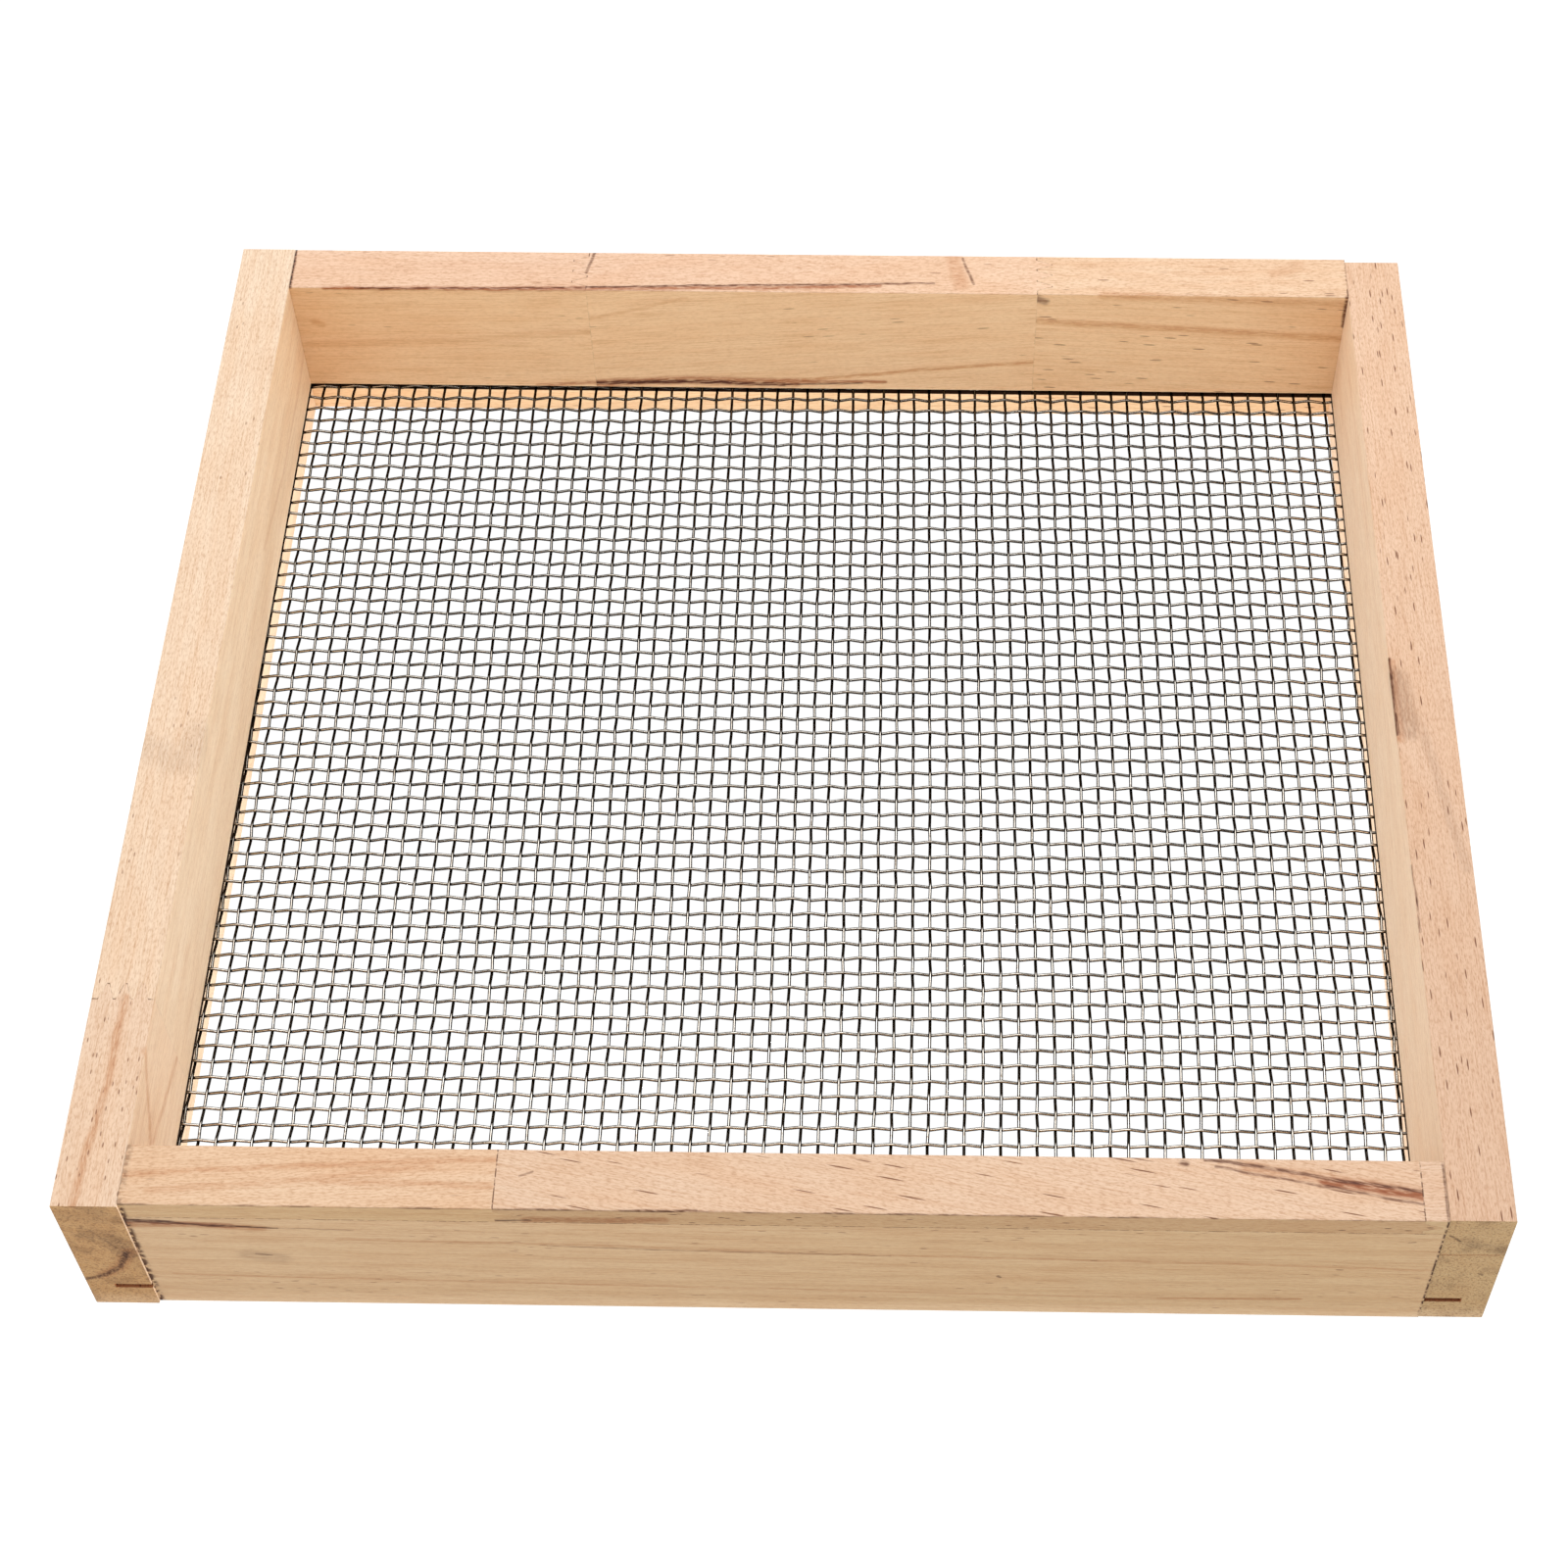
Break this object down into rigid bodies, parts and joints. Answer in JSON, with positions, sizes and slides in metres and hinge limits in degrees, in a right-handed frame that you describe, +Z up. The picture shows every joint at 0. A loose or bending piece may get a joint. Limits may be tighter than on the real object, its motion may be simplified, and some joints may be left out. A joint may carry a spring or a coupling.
{
  "type": "queen excluder",
  "caption": "Shallow wooden frame, open top and bottom, with a woven steel wire screen held in a saw kerf near its base.",
  "frame": {"origin": "centre of the base of the frame's overall box", "axes": "+Z up, out of the deep recess above the screen; -Y to the front, the rail with a thin strip glued along its top; +X to the right, along the longer side of the frame"},
  "size_m": [0.377, 0.346, 0.0571],
  "materials": {
    "pine_left": "planed, unfinished",
    "pine_right": "planed, unfinished",
    "pine_front_face": "planed, unfinished",
    "pine_front_cap": "planed, unfinished",
    "pine_back_pink": "planed, unfinished",
    "pine_back_pale": "planed, unfinished",
    "screen_wire": "drawn wire, slightly dull",
    "brad_steel": "bright nail steel"
  },
  "bodies": {
    "root": {"left_rail_rear_stave": "pine_left", "left_rail_front_stave": "pine_left", "right_rail": "pine_right", "front_rail_lower_stave": "pine_front_face", "front_rail_cap_left": "pine_front_cap", "front_rail_cap_middle": "pine_front_cap", "front_rail_cap_right": "pine_front_cap", "back_rail_left_stave": "pine_back_pink", "back_rail_middle_stave": "pine_back_pink", "back_rail_right_stave": "pine_back_pale", "warp_wires_left_even": "screen_wire", "warp_wires_left_odd": "screen_wire", "warp_wires_right_even": "screen_wire", "warp_wires_right_odd": "screen_wire", "weft_wires_front_even": "screen_wire", "weft_wires_front_odd": "screen_wire", "weft_wires_rear_even": "screen_wire", "weft_wires_rear_odd": "screen_wire", "front_left_brads": "brad_steel", "front_right_brads": "brad_steel", "back_left_brads": "brad_steel", "back_right_brads": "brad_steel"}
  },
  "joints": []
}
